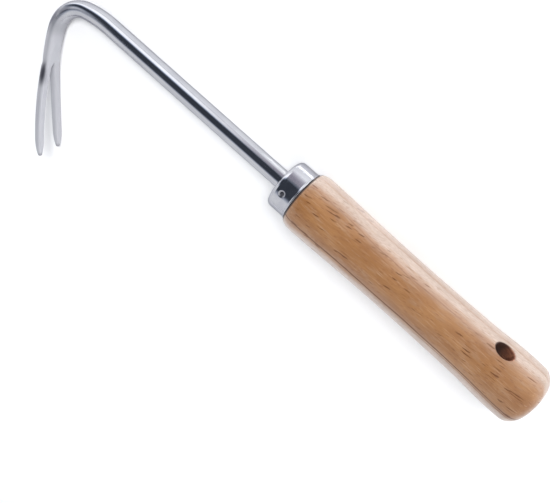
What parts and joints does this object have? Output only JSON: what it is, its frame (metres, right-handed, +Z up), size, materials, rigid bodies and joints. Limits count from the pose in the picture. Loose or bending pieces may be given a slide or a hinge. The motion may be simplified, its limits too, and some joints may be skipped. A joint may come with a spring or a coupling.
{
  "type": "hand cultivator",
  "caption": "Hook-shaped hand cultivator with forged steel tines, a pressed ferrule cap and a turned beech handle with a hanging hole.",
  "frame": {"origin": "centre of the bounding box, on the surface that the tool lies on", "axes": "+Z up, +X along the tool from the butt towards the hook, +Y the side that the tines point to; the tool lies on its side at rest"},
  "size_m": [0.284, 0.0924, 0.0373],
  "materials": {
    "beech": "satin clear lacquer over turned beech",
    "ferrule_steel": "bright pressed steel",
    "rod_steel": "polished stainless steel, satin on the tines",
    "nail_steel": "dull steel",
    "cured_glue": "cured resin"
  },
  "bodies": {
    "root": {"handle": "beech", "ferrule": "ferrule_steel", "fork_rod": "rod_steel", "ferrule_brad": "nail_steel", "tang_adhesive": "cured_glue"}
  },
  "joints": []
}
